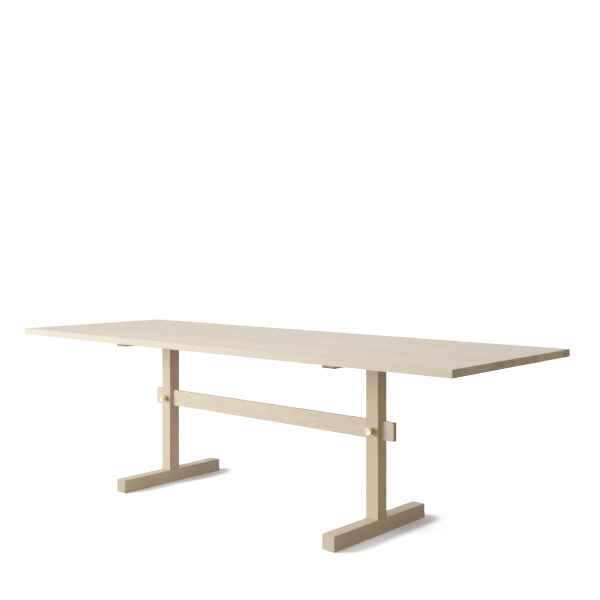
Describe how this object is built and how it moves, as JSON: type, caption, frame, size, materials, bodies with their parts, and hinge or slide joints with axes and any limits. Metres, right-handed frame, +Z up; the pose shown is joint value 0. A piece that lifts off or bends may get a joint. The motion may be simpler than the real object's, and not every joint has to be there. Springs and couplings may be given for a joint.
{
  "type": "communion table",
  "caption": "Plain oak trestle table: a long glued-up top on two post-and-foot trestles, tied by a through stretcher that brass draw pins lock.",
  "frame": {"origin": "on the floor, under the middle of the top", "axes": "+X along the table's length, +Y from the front edge (the side the pins' heads are on) to the back edge, +Z up"},
  "size_m": [2.48, 0.85, 0.74],
  "materials": {
    "top_oak": "pale white-oiled oak, matt",
    "frame_oak": "pale white-oiled oak, matt",
    "wedge_oak": "oak end grain, matt",
    "pin_brass": "turned, unlacquered, satin",
    "insert_brass": "as machined",
    "screw_steel": "zinc plated",
    "glide_plastic": "moulded, matt"
  },
  "bodies": {
    "table": {"top_board_1": "top_oak", "top_board_2": "top_oak", "top_board_3": "top_oak", "top_board_4": "top_oak", "top_board_5": "top_oak", "top_board_6": "top_oak", "top_board_7": "top_oak", "stretcher": "frame_oak", "left_bearer": "frame_oak", "right_bearer": "frame_oak", "left_post": "frame_oak", "right_post": "frame_oak", "left_foot": "frame_oak", "right_foot": "frame_oak", "left_foot_wedges": "wedge_oak", "right_foot_wedges": "wedge_oak", "left_bearer_wedges": "wedge_oak", "right_bearer_wedges": "wedge_oak", "left_top_inserts": "insert_brass", "right_top_inserts": "insert_brass", "left_top_screws": "screw_steel", "right_top_screws": "screw_steel", "left_top_washers": "screw_steel", "right_top_washers": "screw_steel", "left_glide_screws": "screw_steel", "right_glide_screws": "screw_steel", "left_foot_glides": "glide_plastic", "right_foot_glides": "glide_plastic"},
    "left_pin": {"left_draw_pin": "pin_brass"},
    "right_pin": {"right_draw_pin": "pin_brass"}
  },
  "joints": [
    {"name": "left_pin_draw", "type": "slide", "parent": "table", "child": "left_pin", "axis": [0, -1, 0], "range_m": [0, 0.053]},
    {"name": "right_pin_draw", "type": "slide", "parent": "table", "child": "right_pin", "axis": [0, -1, 0], "range_m": [0, 0.053]}
  ]
}
